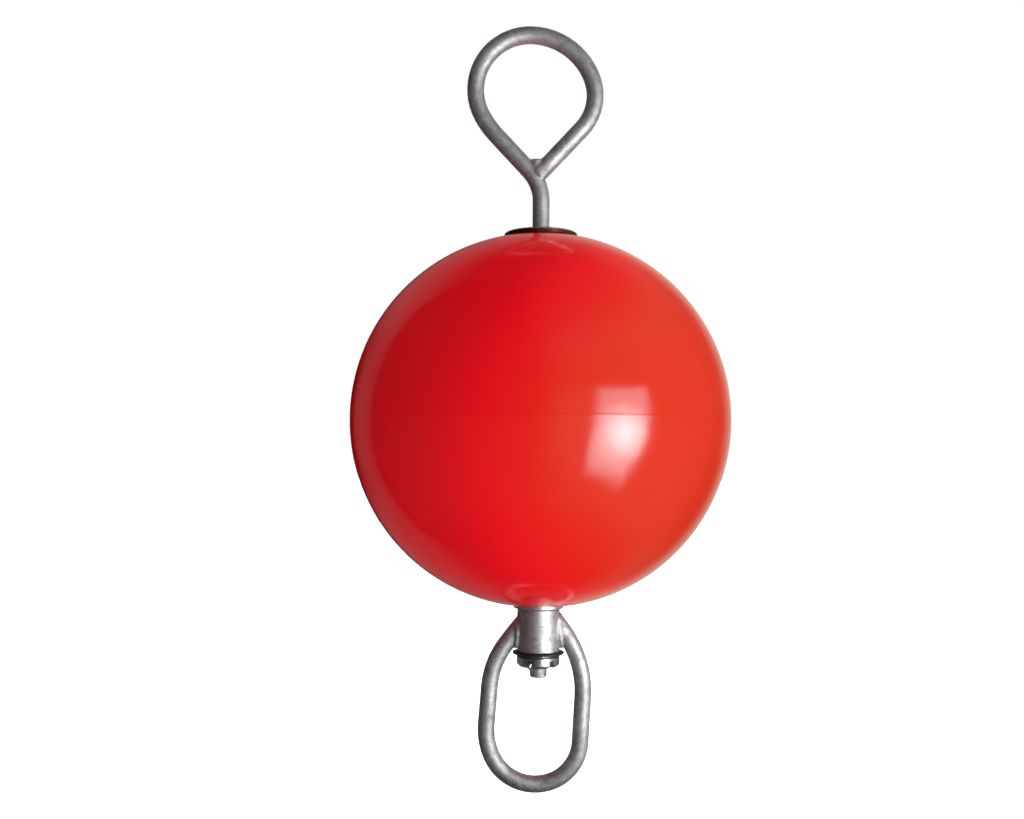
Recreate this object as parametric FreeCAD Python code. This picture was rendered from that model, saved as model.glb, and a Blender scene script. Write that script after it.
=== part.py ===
import FreeCAD, Part

import math
import os
from collections import namedtuple

from FreeCAD import Rotation, Vector

# A rigid mooring buoy: a hollow moulded ball on a through rod. The rod's top is bent into a
# lifting eye. Below the ball a swivel turns on the rod: a bored hub with an oblong bow welded
# to its flanks, kept on by a slip washer, a castle nut and a split pin.
#
# Millimetres. The origin is the ball's centre, on its seam and on the rod's axis. +Z points up
# to the eye, and the eye and the bow lie in the XZ plane. -Y is the front.

# ---- Ball ----
ball_diameter = 400.0        # across the seam
meridian_offset = 3.9        # the meridian's arc is struck this far off the axis
pole_cut = 2.6               # the flat land at each pole lies this far inside that arc
pole_blend_radius = 100.0    # eases the meridian into the flat land
shell_wall = 5.0
seam_chamfer = 0.6           # each half's share of the V at the seam
weld_rim_thickness = 11.0    # thicker rim where the two halves are welded
weld_rim_height = 9.0
pole_boss_radius = 27.0      # thicker wall round the rod, inside the shell
pole_boss_depth = 14.0
rod_hole_clearance = 0.4     # between the rod and the ball's holes, all round

# ---- Rod and lifting eye ----
rod_diameter = 18.0
straight_above_plate = 35.0  # from the top plate to where the shank leaves the axis
shank_bend_radius = 47.0
shank_bend_angle = 43.3      # the left leg's angle from the axis
left_leg_length = 52.0
left_shoulder_radius = 98.0
left_shoulder_angle = 15.0
left_crown_radius = 58.0
left_crown_angle = 120.8
right_crown_radius = 71.0
right_shoulder_radius = 51.5
right_shoulder_angle = 64.2
right_leg_angle = 43.1       # from the axis
butt_gap = 0.2               # between the returning leg's end and the bend it is welded to
rod_end_chamfer = 1.5
eye_weld_throat = 1.8        # how far the bead stands out from the leg
eye_weld_reach = 6.0         # how far the bead runs up the leg
crotch_fill_radius = 8.4     # weld metal that fills the eye's crotch
crotch_fill_rise = 5.4       # its level top, above where the bars' inner sides cross
crotch_fill_edge = 2.0

# ---- Plates on the rod, above and below the ball ----
top_plate_diameter = 77.5
top_plate_thickness = 5.5
plate_edge_radius = 1.6
plate_bore_clearance = 0.2
top_weld_leg = 3.0           # fillet weld between the rod and the top plate
bottom_plate_diameter = 53.0
bottom_plate_thickness = 4.5
bottom_plate_edge = 0.8

# ---- Swivel ----
hub_diameter = 45.0
hub_length = 45.5
hub_bore_clearance = 0.5     # running clearance round the rod
hub_end_gap = 0.4            # running clearance above and below the hub
hub_edge = 1.2
bow_bar_diameter = 18.0
bow_length = 187.3           # from the hub's top to the bar's centreline at the bottom
bow_bottom_radius = 50.5
bow_bottom_shift = -2.8      # the lowest point's distance from the axis
bow_weld_throat = 2.4        # how far the bead stands out from the leg
bow_weld_reach = 3.8         # how far the bead stands out from the hub

# The bow is bent by hand, so its sides differ. From the lowest point each side goes round the
# bottom, the corner, a straight side, the shoulder and a straight leg, whose foot is on the hub.
BowSide = namedtuple(
    "BowSide", "across bottom_angle corner_radius corner_angle shoulder_radius leg_angle foot_depth"
)
bow_right = BowSide(
    across=1, bottom_angle=17.0, corner_radius=46.8, corner_angle=70.0, shoulder_radius=108.0,
    leg_angle=36.5, foot_depth=19.0,
)
bow_left = BowSide(
    across=-1, bottom_angle=65.0, corner_radius=69.0, corner_angle=29.5, shoulder_radius=88.0,
    leg_angle=38.5, foot_depth=23.0,
)

# ---- Slip washer, castle nut and split pin ----
slip_washer_diameter = 55.0
slip_washer_thickness = 4.2
slip_washer_edge = 1.2
nut_diameter = 45.5
nut_height = 11.0
nut_crown_chamfer = 2.4
nut_seat_chamfer = 0.8
nut_slots = 6
nut_slot_width = 6.0
nut_slot_depth = 7.2
thread_clearance = 0.05
rod_end_below_nut = 12.0
pin_azimuth = -21.6          # from the front, towards -X, of the slot that the pin's eye is in
pin_diameter = 4.0
pin_hole_clearance = 0.3
pin_leg_gap = 0.3
pin_eye_inner_radius = 2.2
pin_neck_radius = 3.0
pin_eye_standoff = 1.2       # from the nut's rim to the centre of the pin's eye
pin_eye_clearance = 0.3      # between the eye and the top of its slot
pin_leg_bend_radius = 3.0
pin_tail_clearance = 0.8     # from the nut's rim to where the legs are bent apart
pin_lower_bend = 68.0
pin_upper_bend = 30.0
pin_lower_tail = 6.0
pin_upper_tail = 3.5

# ---- What follows from them ----
ball_radius = ball_diameter / 2
rod_radius = rod_diameter / 2
bow_bar_radius = bow_bar_diameter / 2
hub_radius = hub_diameter / 2
pole_flat_height = ball_radius - meridian_offset - pole_cut      # from the seam to the land
top_plate_base = pole_flat_height
bend_start_height = top_plate_base + top_plate_thickness + straight_above_plate
bottom_plate_top = -pole_flat_height
bottom_plate_base = bottom_plate_top - bottom_plate_thickness
hub_top = bottom_plate_base - hub_end_gap
hub_base = hub_top - hub_length
bow_bottom_height = hub_top - bow_length
slip_washer_top = hub_base - hub_end_gap
nut_top = slip_washer_top - slip_washer_thickness
nut_base = nut_top - nut_height
rod_base = nut_base - rod_end_below_nut
pin_wire_depth = (pin_diameter - pin_leg_gap) / 2     # of its half-round section
pin_eye_outer_radius = pin_eye_inner_radius + pin_wire_depth
pin_height = nut_base + nut_slot_depth - pin_eye_outer_radius - pin_eye_clearance

X_AXIS = Vector(1, 0, 0)
Y_AXIS = Vector(0, 1, 0)
Z_AXIS = Vector(0, 0, 1)
ORIGIN = Vector(0, 0, 0)


def in_xz(x, z):
    return Vector(x, 0, z)


class BarPath:
    """A bar's centreline in the XZ plane, laid down as straight runs and tangent bends."""

    def __init__(self, x, z, heading):
        self.point = in_xz(x, z)
        self.heading = heading            # degrees from +X towards +Z
        self.start = self.point
        self.start_direction = self.direction()
        self.edges = []

    def direction(self):
        angle = math.radians(self.heading)
        return in_xz(math.cos(angle), math.sin(angle))

    def run(self, length):
        end = self.point + self.direction() * length
        self.edges.append(Part.LineSegment(self.point, end).toShape())
        self.point = end

    def bend(self, radius, degrees):
        """Turns left, from +X towards +Z, by so many degrees, or right if they are negative."""
        side = math.copysign(1.0, degrees)
        along = self.direction()
        centre = self.point + in_xz(-along.z, along.x) * (side * radius)

        def on_bend(share):
            turn = Rotation(Y_AXIS, -degrees * share)
            return centre + turn.multVec(self.point - centre)

        middle, end = on_bend(0.5), on_bend(1.0)
        self.edges.append(Part.Arc(self.point, middle, end).toShape())
        self.point = end
        self.heading += degrees


def swept_bar(path, radius):
    section = Part.Face(Part.Wire(Part.makeCircle(radius, path.start, path.start_direction)))
    return Part.Wire(path.edges).makePipe(section)


def revolved(points):
    """Turns a closed outline of (radius, height) points about the Z axis."""
    corners = [in_xz(radius, height) for radius, height in points]
    return Part.Face(Part.makePolygon(corners + corners[:1])).revolve(ORIGIN, Z_AXIS, 360)


def ring(outer_radius, inner_radius, base, height):
    outer = Part.makeCylinder(outer_radius, height, in_xz(0, base))
    return outer.cut(Part.makeCylinder(inner_radius, height, in_xz(0, base)))


def edges_on_radius(shape, radius):
    """The circular edges about the Z axis that have this radius."""
    return [
        edge for edge in shape.Edges
        if isinstance(edge.Curve, Part.Circle) and abs(edge.Curve.Radius - radius) < 1e-6
    ]


def single_solid(shape):
    """The one solid that a feature has made, with the seams inside its faces removed."""
    assert len(shape.Solids) == 1, f"{len(shape.Solids)} solids where one was meant"
    return shape.Solids[0].removeSplitter()


# ---- Ball ----

def meridian(wall):
    """The half outline of one half ball, this far in from its surface: from the seam to the
    pole's flat land, as the edges of the long arc and of the blend."""
    arc_radius = ball_radius - meridian_offset - wall
    blend_radius = pole_blend_radius - wall
    blend_height = pole_flat_height - pole_blend_radius
    between_centres = ball_radius - meridian_offset - pole_blend_radius
    blend_offset = meridian_offset + math.sqrt(between_centres**2 - blend_height**2)
    meeting_angle = math.atan2(blend_height, blend_offset - meridian_offset)

    def on_arc(angle):
        return in_xz(meridian_offset + arc_radius * math.cos(angle), arc_radius * math.sin(angle))

    def on_blend(angle):
        return in_xz(
            blend_offset + blend_radius * math.cos(angle),
            blend_height + blend_radius * math.sin(angle),
        )

    upright = math.pi / 2
    long_arc = Part.Arc(on_arc(0), on_arc(meeting_angle / 2), on_arc(meeting_angle))
    blend = Part.Arc(on_arc(meeting_angle), on_blend((meeting_angle + upright) / 2), on_blend(upright))
    return [long_arc.toShape(), blend.toShape()], on_blend(upright)


def revolved_cap(wall):
    """Everything inside the meridian at this depth, as a solid of revolution."""
    edges, land_edge = meridian(wall)
    pole, centre = in_xz(0, land_edge.z), ORIGIN
    rim = edges[0].Vertexes[0].Point
    edges += [
        Part.LineSegment(land_edge, pole).toShape(),
        Part.LineSegment(pole, centre).toShape(),
        Part.LineSegment(centre, rim).toShape(),
    ]
    return Part.Face(Part.Wire(edges)).revolve(ORIGIN, Z_AXIS, 360)


def half_ball():
    """The upper half: a shell with a weld rim at the seam and a bored boss at the pole."""
    inside = revolved_cap(shell_wall)
    rim_bore = ball_radius - weld_rim_thickness
    rim = Part.makeCylinder(ball_radius, weld_rim_height).cut(
        Part.makeCylinder(rim_bore, weld_rim_height)
    )
    boss = Part.makeCylinder(
        pole_boss_radius, pole_boss_depth, in_xz(0, pole_flat_height - pole_boss_depth)
    )
    hollow = inside.cut(rim).cut(boss)
    hole = Part.makeCylinder(rod_radius + rod_hole_clearance, pole_flat_height)
    shell = revolved_cap(0).cut(hollow).cut(hole)
    shell = single_solid(shell)
    return shell.makeChamfer(seam_chamfer, edges_on_radius(shell, ball_radius))


def float_upper():
    return half_ball()


def float_lower():
    return half_ball().mirror(ORIGIN, Z_AXIS)


# ---- Rod and lifting eye ----

def eye_path():
    """From the rod's lower end, up through the ball and round the eye, to the returning leg."""
    path = BarPath(0, rod_base, 90)
    path.run(bend_start_height - rod_base)
    path.bend(shank_bend_radius, shank_bend_angle)
    path.run(left_leg_length)
    path.bend(left_shoulder_radius, -left_shoulder_angle)
    path.bend(left_crown_radius, -left_crown_angle)
    end_heading = -90 - right_leg_angle
    path.bend(right_crown_radius, end_heading + right_shoulder_angle - path.heading)
    path.bend(right_shoulder_radius, -right_shoulder_angle)
    return path


def shank_bend_centre():
    return in_xz(-shank_bend_radius, bend_start_height)


def returning_leg_length(path):
    """How far the right leg runs before its end meets the bend's outer side."""
    outer = shank_bend_radius + rod_radius + butt_gap
    from_centre = path.point - shank_bend_centre()
    along = path.direction()
    approach = from_centre.dot(along)
    return -approach - math.sqrt(approach**2 - from_centre.dot(from_centre) + outer**2)


def closed_eye_path():
    path = eye_path()
    path.run(returning_leg_length(path))
    return path


def pin_axis():
    """Along the split pin, level, from its eye at the front to its legs' tips at the back."""
    azimuth = math.radians(pin_azimuth)
    return Vector(-math.sin(azimuth), math.cos(azimuth), 0)


def bare_rod():
    return swept_bar(closed_eye_path(), rod_radius)


def eye_rod():
    rod = bare_rod()
    end = Part.makeCylinder(rod_radius, rod_end_chamfer, in_xz(0, rod_base)).cut(
        Part.makeCone(rod_radius - rod_end_chamfer, rod_radius, rod_end_chamfer, in_xz(0, rod_base))
    )
    hole_radius = pin_diameter / 2 + pin_hole_clearance
    hole_start = in_xz(0, pin_height) - pin_axis() * rod_diameter
    hole = Part.makeCylinder(hole_radius, 2 * rod_diameter, hole_start, pin_axis())
    return single_solid(rod.cut(end).cut(hole))


def bead(radius, throat, reach, back):
    """A weld bead about a bar of this radius, made about the Z axis: it swells from nothing,
    this far up the bar, to its throat at the joint, and runs this far back past it."""
    outline = [
        in_xz(0, -back), in_xz(radius + 0.6 * throat, -back), in_xz(radius + throat, -0.2 * back),
        in_xz(radius + 0.7 * throat, 0.45 * reach), in_xz(radius - 0.05 * throat, reach),
        in_xz(0, reach),
    ]
    swell = Part.BSplineCurve()
    swell.interpolate(outline[1:5])
    edges = [
        Part.LineSegment(outline[0], outline[1]).toShape(), swell.toShape(),
        Part.LineSegment(outline[4], outline[5]).toShape(),
        Part.LineSegment(outline[5], outline[0]).toShape(),
    ]
    return Part.Face(Part.Wire(edges)).revolve(ORIGIN, Z_AXIS, 360)


def placed_along(shape, base, direction):
    """Moves a shape made about the Z axis so that it stands on this point along this line."""
    shape = shape.copy()
    shape.Placement = FreeCAD.Placement(base, Rotation(Z_AXIS, direction))
    return shape


def crossing(point, direction, other, other_direction):
    """Where two lines in the XZ plane cross."""
    along = (other - point).cross(other_direction).y / direction.cross(other_direction).y
    return point + direction * along


def crotch_fill(path):
    """Weld metal standing in the crotch between the left leg and the returning one, level on top."""
    shank = BarPath(0, bend_start_height, 90)
    shank.bend(shank_bend_radius, shank_bend_angle)
    crotch = crossing(shank.point, shank.direction(), path.point, path.direction())
    half_spread = math.radians((shank_bend_angle + right_leg_angle) / 2)
    top = crotch.z + rod_radius / math.sin(half_spread) + crotch_fill_rise
    fill = Part.makeCylinder(crotch_fill_radius, top - crotch.z, crotch)
    return fill.makeFillet(crotch_fill_edge, [
        edge for edge in edges_on_radius(fill, crotch_fill_radius) if edge.CenterOfMass.z > crotch.z + 1
    ])


def eye_weld():
    """Closes the eye: a bead round the returning leg's end, where it butts on the bend."""
    path = closed_eye_path()
    collar = bead(rod_radius, eye_weld_throat, eye_weld_reach, 0.7 * rod_radius)
    collar = placed_along(collar, path.point, path.direction() * -1)
    return largest_solid(collar.fuse(crotch_fill(path)).cut(bare_rod()))


def largest_solid(shape):
    return max(shape.Solids, key=lambda solid: solid.Volume)


# ---- Plates ----

def top_plate():
    plate = ring(
        top_plate_diameter / 2, rod_radius + plate_bore_clearance, top_plate_base, top_plate_thickness
    )
    return plate.makeFillet(plate_edge_radius, edges_on_radius(plate, top_plate_diameter / 2))


def top_plate_weld():
    """The fillet weld between the rod and the top plate."""
    foot = top_plate_base + top_plate_thickness
    return revolved([
        (rod_radius, foot), (rod_radius + top_weld_leg, foot), (rod_radius, foot + top_weld_leg),
    ])


def bottom_plate():
    plate = ring(
        bottom_plate_diameter / 2, rod_radius + plate_bore_clearance,
        bottom_plate_base, bottom_plate_thickness,
    )
    return plate.makeChamfer(bottom_plate_edge, edges_on_radius(plate, bottom_plate_diameter / 2))


# ---- Swivel ----

def swivel_hub():
    hub = ring(hub_radius, rod_radius + hub_bore_clearance, hub_base, hub_length)
    hub = hub.makeFillet(hub_edge, edges_on_radius(hub, hub_radius))
    bore_edges = edges_on_radius(hub, rod_radius + hub_bore_clearance)
    return hub.makeChamfer(hub_edge / 2, bore_edges)


def bow_side_path(side, length):
    """One side of the bow with so long a straight side, laid down on the +X side of the axis."""
    path = BarPath(side.across * bow_bottom_shift, bow_bottom_height, 0)
    path.bend(bow_bottom_radius, side.bottom_angle)
    path.bend(side.corner_radius, side.corner_angle)
    path.run(length)
    path.bend(side.shoulder_radius, 90 + side.leg_angle - path.heading)
    return path


def foot_of(path):
    """Where the leg's centreline meets the hub's flank."""
    along = path.direction()
    return path.point + along * ((hub_radius - path.point.x) / along.x)


def leg_path(side):
    """A side of the bow up to its leg, with the straight side that brings the foot to its height."""
    shortest, longest = (foot_of(bow_side_path(side, length)).z for length in (1, hub_length))
    wanted = hub_top - side.foot_depth
    rise_per_length = (longest - shortest) / (hub_length - 1)
    return bow_side_path(side, 1 + (wanted - shortest) / rise_per_length)


def half_bow(side):
    """On the +X side of the axis, its leg run on into the hub's place."""
    path = leg_path(side)
    path.run((foot_of(path) - path.point).Length + bow_bar_diameter)
    return swept_bar(path, bow_bar_radius)


def on_its_side(shape, side):
    return shape if side.across > 0 else shape.mirror(ORIGIN, X_AXIS)


def hub_envelope():
    return Part.makeCylinder(hub_radius, hub_length, in_xz(0, hub_base))


def swivel_bow():
    bow = half_bow(bow_right).fuse(on_its_side(half_bow(bow_left), bow_left))
    core = Part.makeCylinder(hub_radius, bow_length, in_xz(0, hub_base))
    return single_solid(bow.cut(core))


def bow_weld(side):
    """A bead along the leg's coped end: at its flanks, and filling the crotch underneath it. The
    leg's upper edge runs into the hub bare."""
    path = leg_path(side)
    along = path.direction()
    inward = in_xz(-along.z, along.x)
    sleeve_start = foot_of(path) + inward * (1.1 * bow_weld_throat) - along * hub_radius
    sleeve = Part.makeCylinder(bow_bar_radius + bow_weld_throat, 2 * hub_radius, sleeve_start, along)
    round_hub = Part.makeCylinder(
        hub_radius + bow_weld_reach, hub_length - 2 * hub_edge, in_xz(0, hub_base + hub_edge)
    )
    weld = sleeve.common(round_hub).cut(hub_envelope()).cut(half_bow(side))
    return on_its_side(largest_solid(weld), side)


def bow_weld_left():
    return bow_weld(bow_left)


def bow_weld_right():
    return bow_weld(bow_right)


# ---- Slip washer, castle nut and split pin ----

def slip_washer():
    washer = ring(
        slip_washer_diameter / 2, rod_radius + plate_bore_clearance,
        nut_top, slip_washer_thickness,
    )
    return washer.makeFillet(slip_washer_edge, edges_on_radius(washer, slip_washer_diameter / 2))


def castle_nut():
    nut = ring(nut_diameter / 2, rod_radius + thread_clearance, nut_base, nut_height)
    rim = edges_on_radius(nut, nut_diameter / 2)
    crown_rim = [edge for edge in rim if edge.CenterOfMass.z < nut_base + nut_height / 2]
    seat_rim = [edge for edge in rim if edge.CenterOfMass.z > nut_base + nut_height / 2]
    nut = nut.makeChamfer(nut_crown_chamfer, crown_rim)
    nut = nut.makeChamfer(nut_seat_chamfer, [
        edge for edge in edges_on_radius(nut, nut_diameter / 2)
        if abs(edge.CenterOfMass.z - seat_rim[0].CenterOfMass.z) < 1e-6
    ])
    slot = Part.makeBox(
        nut_slot_width, nut_diameter, nut_slot_depth, Vector(-nut_slot_width / 2, 0, nut_base)
    )
    first = 180 + pin_azimuth
    for number in range(nut_slots):
        nut = nut.cut(slot.rotated(ORIGIN, Z_AXIS, first + number * 360 / nut_slots))
    return single_solid(nut)


def pin_wire(lower_reach, upper_reach):
    """The split pin's wire in the XZ plane, along the flat side of its half-round section. It
    lies along X with its eye's centre at the origin and its legs towards +X."""
    half_gap = pin_leg_gap / 2
    flare = math.degrees(math.acos(
        (half_gap + pin_neck_radius) / (pin_eye_inner_radius + pin_neck_radius)
    ))
    neck = (pin_eye_inner_radius + pin_neck_radius) * math.sin(math.radians(flare))
    tail = BarPath(lower_reach, -half_gap, 0)
    tail.bend(pin_leg_bend_radius, -pin_lower_bend)
    tail.run(pin_lower_tail)
    path = BarPath(tail.point.x, tail.point.z, 180 - pin_lower_bend)
    path.run(pin_lower_tail)
    path.bend(pin_leg_bend_radius, pin_lower_bend)
    path.run(lower_reach - neck)
    path.bend(pin_neck_radius, flare)
    path.bend(pin_eye_inner_radius, -(180 + 2 * flare))
    path.bend(pin_neck_radius, flare)
    path.run(upper_reach - neck)
    path.bend(pin_leg_bend_radius, pin_upper_bend)
    path.run(pin_upper_tail)
    return path


def split_pin():
    eye_from_axis = nut_diameter / 2 + pin_eye_standoff
    reach = eye_from_axis + nut_diameter / 2 + pin_tail_clearance
    path = pin_wire(reach, reach)
    outward = path.start_direction.cross(Y_AXIS)
    left, right = path.start - Y_AXIS * pin_wire_depth, path.start + Y_AXIS * pin_wire_depth
    crest = path.start + outward * pin_wire_depth
    section = Part.Wire([
        Part.LineSegment(right, left).toShape(), Part.Arc(left, crest, right).toShape(),
    ])
    pin = Part.Wire(path.edges).makePipe(Part.Face(section))
    pin = pin.Solids[0]
    pin.Placement = FreeCAD.Placement(
        in_xz(0, pin_height) - pin_axis() * eye_from_axis, Rotation(X_AXIS, pin_axis())
    )
    return pin


NODES = [
    float_upper, float_lower, eye_rod, eye_weld, top_plate, top_plate_weld, bottom_plate,
    swivel_hub, swivel_bow, bow_weld_left, bow_weld_right, slip_washer, castle_nut, split_pin,
]


def main():
    os.makedirs("parts", exist_ok=True)
    for make in NODES:
        shape = make()
        assert shape.isValid(), f"{make.__name__} is not a valid solid"
        shape.exportStep(f"parts/{make.__name__}.step")
        print(f"{make.__name__}: {shape.Volume / 1000:.2f} cm3, {len(shape.Faces)} faces")


main()
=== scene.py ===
# %% [markdown]
# # A mooring buoy
# A glossy red moulded ball carries a steel rod through its middle. The rod's top is bent into a
# lifting eye. Under the ball a bow for the mooring chain turns on the rod, kept on by a washer,
# a castle nut and a split pin. The rigid parts come packed from CAD, one object each, in metres,
# with the origin at the ball's centre, +Z up and the front at -Y. They are dressed here, not
# moved. The box they fill is kept.

# %% The imported frame
import math

import bmesh
import bpy
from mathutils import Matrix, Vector, noise


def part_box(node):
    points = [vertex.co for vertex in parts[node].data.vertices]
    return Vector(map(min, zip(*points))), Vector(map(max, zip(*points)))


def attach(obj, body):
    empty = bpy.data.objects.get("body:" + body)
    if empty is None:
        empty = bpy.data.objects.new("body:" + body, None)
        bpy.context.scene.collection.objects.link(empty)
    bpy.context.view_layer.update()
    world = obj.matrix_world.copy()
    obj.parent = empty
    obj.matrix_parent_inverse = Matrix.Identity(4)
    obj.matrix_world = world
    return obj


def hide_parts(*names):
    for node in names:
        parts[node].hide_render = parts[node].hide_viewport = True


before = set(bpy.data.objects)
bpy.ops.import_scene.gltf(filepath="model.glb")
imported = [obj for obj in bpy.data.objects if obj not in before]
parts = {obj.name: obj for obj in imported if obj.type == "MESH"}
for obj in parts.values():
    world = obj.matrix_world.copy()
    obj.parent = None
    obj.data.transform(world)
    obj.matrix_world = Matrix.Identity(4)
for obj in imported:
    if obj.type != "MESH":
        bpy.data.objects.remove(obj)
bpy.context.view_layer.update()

MM = 0.001
scene = bpy.context.scene
print("parts:", ", ".join(sorted(parts)))

# %% [markdown]
# ## Levels to work from
# A piece that dresses a part has to sit where that part is. So its level is read from the part's
# own box, in millimetres, and only the small distance from there is typed. If the part ever
# grows, what dresses it follows.

# %% Levels
def top_of(node):
    """The height of a part's highest point, in millimetres, to the nearest micron."""
    return round(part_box(node)[1].z / MM, 3)


plate_top = top_of("top_plate")
hub_top = top_of("swivel_hub")
washer_top = top_of("slip_washer")
nut_bottom = round(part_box("castle_nut")[0].z / MM, 3)
hub_radius = round(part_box("swivel_hub")[1].x / MM, 3)
seam_level = round(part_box("float_upper")[0].z / MM, 3)
seam_radius = float(round(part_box("float_upper")[1].x / MM))    # its mesh is cut a little inside
rod_radius = 9.0       # typed, because the rod's box holds its eye too
print("tops in mm: plate", plate_top, "hub", hub_top, "washer", washer_top)
print("nut's bottom", nut_bottom, "mm, hub's radius", hub_radius, "mm")
print("seam at", seam_level, "mm, with a radius of", seam_radius, "mm")

# %% [markdown]
# ## The camera
# A product shot of a round thing looks right only from the distance that it was made at: nearer,
# the ball hides more of its own poles. This camera stands 1.18 m in front of the rod, a little
# below the seam and to the left, and looks level. The picture is raised with the lens's shift, as
# on a view camera, so that upright edges stay parallel, and a roll of a third of a degree lets
# the buoy lean as a hung thing does.

# %% Camera
camera_data = bpy.data.cameras.new("studio_camera")
camera_data.lens = 39.02
camera_data.sensor_width = 36.0
camera_data.shift_y = 0.0499
camera = bpy.data.objects.new("studio_camera", camera_data)
camera.location = (-0.0292, -1.18, -0.042)
camera.rotation_euler = (math.radians(90), math.radians(-0.36), 0)
scene.collection.objects.link(camera)
scene.camera = camera
scene.view_settings.view_transform = "Standard"
print("camera", tuple(round(v, 3) for v in camera.location), "lens", camera_data.lens, "mm")

# %% [markdown]
# ## Helpers for every material
# Colours are picked as screen colours, as a paint maker's chart gives them, and the renderer
# wants linear light, so one function turns one into the other. Another adds one node with its
# settings and its inputs, where an input is either a plain value or the socket it is fed from.
# Patterns are sized in millimetres, and the node wants to know how many fit in a metre.

# %% Helpers
def linear(hex_colour):
    """#rrggbb as linear light, with alpha."""
    channels = [int(hex_colour[i:i + 2], 16) / 255 for i in (1, 3, 5)]
    return tuple(c / 12.92 if c <= 0.04045 else ((c + 0.055) / 1.055) ** 2.4 for c in channels) + (1.0,)


def add_node(tree, kind, settings=None, inputs=None):
    node = tree.nodes.new(kind)
    for name, value in (settings or {}).items():
        setattr(node, name, value)
    for name, value in (inputs or {}).items():
        if isinstance(value, bpy.types.NodeSocket):
            tree.links.new(value, node.inputs[name])
        else:
            node.inputs[name].default_value = value
    return node


def per_metre(size_mm):
    """A pattern's scale, for features of this size: how many of them fit in a metre."""
    return 1000.0 / size_mm


def new_material(name):
    """A material and its node tree."""
    material = bpy.data.materials.new(name)
    material.use_nodes = True
    return material, material.node_tree


TIMES = {"operation": "MULTIPLY"}
PLUS = {"operation": "ADD"}
TIMES_PLUS = {"operation": "MULTIPLY_ADD"}
SMOOTH = {"interpolation_type": "SMOOTHSTEP"}
COLOURS = {"data_type": "RGBA"}
print("mid grey in linear light:", [round(c, 3) for c in linear("#808080")])

# %% [markdown]
# ## The studio room
# Glossy plastic and bare metal show the room as much as themselves, so the room needs as much
# care as the buoy. Walls could be modelled, but a world shader is lighter: it gives a colour for
# each direction, and a different one to each kind of ray. A direction is an arrow of length 1,
# with x to the right, y away from the camera and z up, each from -1 to 1.

# %% World: directions
world = bpy.data.worlds.new("studio")
scene.world = world
world.use_nodes = True
sky = world.node_tree
sky.nodes.clear()
direction = add_node(sky, "ShaderNodeTexCoord")
components = add_node(sky, "ShaderNodeSeparateXYZ", inputs={0: direction.outputs["Generated"]})
x, y, z = (components.outputs[axis] for axis in "XYZ")
off_level = add_node(sky, "ShaderNodeMath", {"operation": "ABSOLUTE"}, {0: z}).outputs[0]
off_centre = add_node(sky, "ShaderNodeMath", {"operation": "ABSOLUTE"}, {0: x}).outputs[0]
BACKDROP_SLOPE = 0.54
past_corner = add_node(sky, "ShaderNodeMath", TIMES_PLUS, {
    0: off_centre, 1: -BACKDROP_SLOPE, 2: y}).outputs[0]
print("world: directions from", direction.name)

# %% [markdown]
# ## What gloss mirrors
# Mirror rays see a side room and a backdrop. The side room is dark on the left and pale, a
# little warm, on the right. The backdrop begins where a ray goes back by more than about half of
# what it goes aside. On the left it is dark but for faint bands above, below and at its edge. On
# the right it brightens towards the ball's rim, which gives the ball its pale edge and each bar a
# second, softer one. Straight up and down the room is dark. Each wall is a smooth step along one
# direction, because painted walls fade into each other and have no edges.

# %% World: the fades of the room
ROOM_FADES = {  # where: (along, start, end, brightness at the start, brightness at the end)
    "left_to_right": (x, -0.15, 0.35, 0.03, 0.30),
    "front_to_back": (y, -0.1, 0.5, 1.0, 0.4),
    "left_above": (z, 0.15, 0.50, 0.0, 0.18),
    "left_below": (z, -0.05, -0.40, 0.0, 0.15),
    "left_edge": (x, -0.45, -0.72, 0.0, 0.12),
    "right_rim": (y, 0.66, 0.95, 0.06, 0.62),
    "right_off_level": (off_level, 0.45, 0.75, 0.0, 0.14),
    "right_share": (x, -0.15, 0.20, 0.0, 1.0),
    "backdrop_share": (past_corner, 0.0, 0.06, 0.0, 1.0),
    "off_the_poles": (off_level, 0.93, 0.66, 0.02, 1.0),
}
room = {}
for name, (along, start, end, low, high) in ROOM_FADES.items():
    room[name] = add_node(sky, "ShaderNodeMapRange", SMOOTH, {
        "Value": along, "From Min": start, "From Max": end, "To Min": low, "To Max": high}).outputs[0]
print("world:", len(room), "fades")

# %% World: walls and backdrop put together
side_room = add_node(sky, "ShaderNodeMath", TIMES, {0: room["left_to_right"], 1: room["front_to_back"]})
left_bands = add_node(sky, "ShaderNodeMath", PLUS, {0: room["left_above"], 1: room["left_below"]})
far_left = add_node(sky, "ShaderNodeMath", {"operation": "MAXIMUM"}, {
    0: left_bands.outputs[0], 1: room["left_edge"]})
far_right = add_node(sky, "ShaderNodeMath", PLUS, {0: room["right_rim"], 1: room["right_off_level"]})
backdrop = add_node(sky, "ShaderNodeMix", {"data_type": "FLOAT"}, {
    0: room["right_share"], 2: far_left.outputs[0], 3: far_right.outputs[0]})
walls = add_node(sky, "ShaderNodeMix", {"data_type": "FLOAT"}, {
    0: room["backdrop_share"], 2: side_room.outputs[0], 3: backdrop.outputs[0]})
brightness = add_node(sky, "ShaderNodeMath", TIMES, {0: walls.outputs[0], 1: room["off_the_poles"]})
wall_colour = add_node(sky, "ShaderNodeMix", COLOURS, {
    0: room["right_share"], 6: (1.0, 1.0, 1.0, 1.0), 7: (1.0, 0.96, 0.78, 1.0)})
mirrored_room = add_node(sky, "ShaderNodeVectorMath", {"operation": "SCALE"}, {
    0: wall_colour.outputs[2], "Scale": brightness.outputs[0]})
print("world:", len(sky.nodes), "nodes for the mirrored room")

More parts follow.
